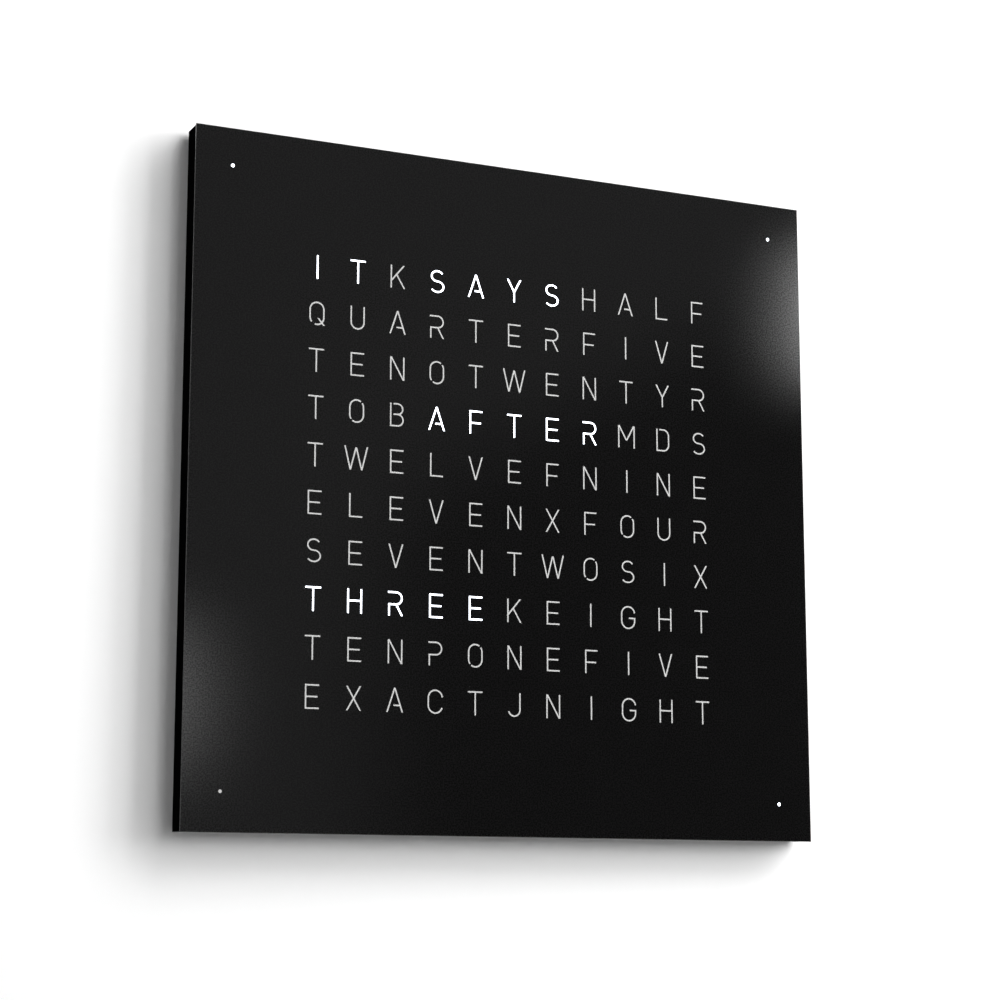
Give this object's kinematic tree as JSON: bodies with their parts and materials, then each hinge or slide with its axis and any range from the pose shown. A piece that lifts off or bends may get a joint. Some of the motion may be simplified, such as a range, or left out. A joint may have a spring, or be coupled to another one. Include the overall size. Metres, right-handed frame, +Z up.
{
  "type": "word clock",
  "caption": "Thin square wall clock with a black steel cover whose cut-out letters light up as words, and corner dots that count single minutes.",
  "frame": {"origin": "on the wall behind the centre of the face", "axes": "+X to the right of someone who reads the clock, +Y into the wall, +Z up; the face looks along -Y"},
  "size_m": [0.45, 0.02, 0.45],
  "materials": {
    "cover_paint": "matt black powder coat on steel sheet",
    "housing_plastic": "fine-grained black moulded plastic",
    "steel": "bright zinc-plated steel",
    "screw_steel": "black zinc-plated steel",
    "magnet": "nickel-plated magnet",
    "rubber": "black rubber",
    "opal_plastic": "opal white sheet",
    "white_plastic": "white moulded plastic",
    "board": "white solder mask on glass-fibre board",
    "lamp_package": "white lamp package with a clear window",
    "ribbon": "flat lead, satin",
    "chip": "black moulding compound",
    "can": "satin aluminium can",
    "button_plastic": "dark grey satin plastic",
    "contact": "plated contact"
  },
  "bodies": {
    "housing": {"housing_frame": "housing_plastic", "cover_magnets": "magnet", "back_panel": "housing_plastic", "panel_screws": "screw_steel", "wall_bumpers": "rubber", "hanger_plates": "steel", "diffuser_sheet": "opal_plastic", "light_grid": "white_plastic", "minute_cups": "white_plastic", "lamp_board": "board", "word_lamps": "lamp_package", "minute_lamps": "lamp_package", "corner_boards": "board", "corner_leads": "ribbon", "driver_chips": "chip", "light_sensor": "chip", "controller_board": "board", "tact_switches": "chip", "processor": "chip", "quartz_crystal": "steel", "cell_holder": "chip", "backup_cell": "steel", "buffer_capacitor": "can", "ribbon_connectors": "white_plastic", "ribbon_cable": "ribbon", "power_jack": "chip", "jack_pin": "contact"},
    "cover": {"front_cover": "cover_paint", "cover_studs": "steel"},
    "hour_key": {"hour_button": "button_plastic", "hour_plunger": "chip"},
    "minute_key": {"minute_button": "button_plastic", "minute_plunger": "chip"},
    "brightness_key": {"brightness_button": "button_plastic", "brightness_plunger": "chip"},
    "colour_key": {"colour_button": "button_plastic", "colour_plunger": "chip"}
  },
  "joints": [
    {"name": "cover_lift_off", "type": "slide", "parent": "housing", "child": "cover", "axis": [0, -1, 0], "range_m": [0, 0.06]},
    {"name": "hour_press", "type": "slide", "parent": "housing", "child": "hour_key", "axis": [0, -1, 0], "range_m": [0, 0.0005], "stiffness_N_per_m": 2500},
    {"name": "minute_press", "type": "slide", "parent": "housing", "child": "minute_key", "axis": [0, -1, 0], "range_m": [0, 0.0005], "stiffness_N_per_m": 2500},
    {"name": "brightness_press", "type": "slide", "parent": "housing", "child": "brightness_key", "axis": [0, -1, 0], "range_m": [0, 0.0005], "stiffness_N_per_m": 2500},
    {"name": "colour_press", "type": "slide", "parent": "housing", "child": "colour_key", "axis": [0, -1, 0], "range_m": [0, 0.0005], "stiffness_N_per_m": 2500}
  ]
}
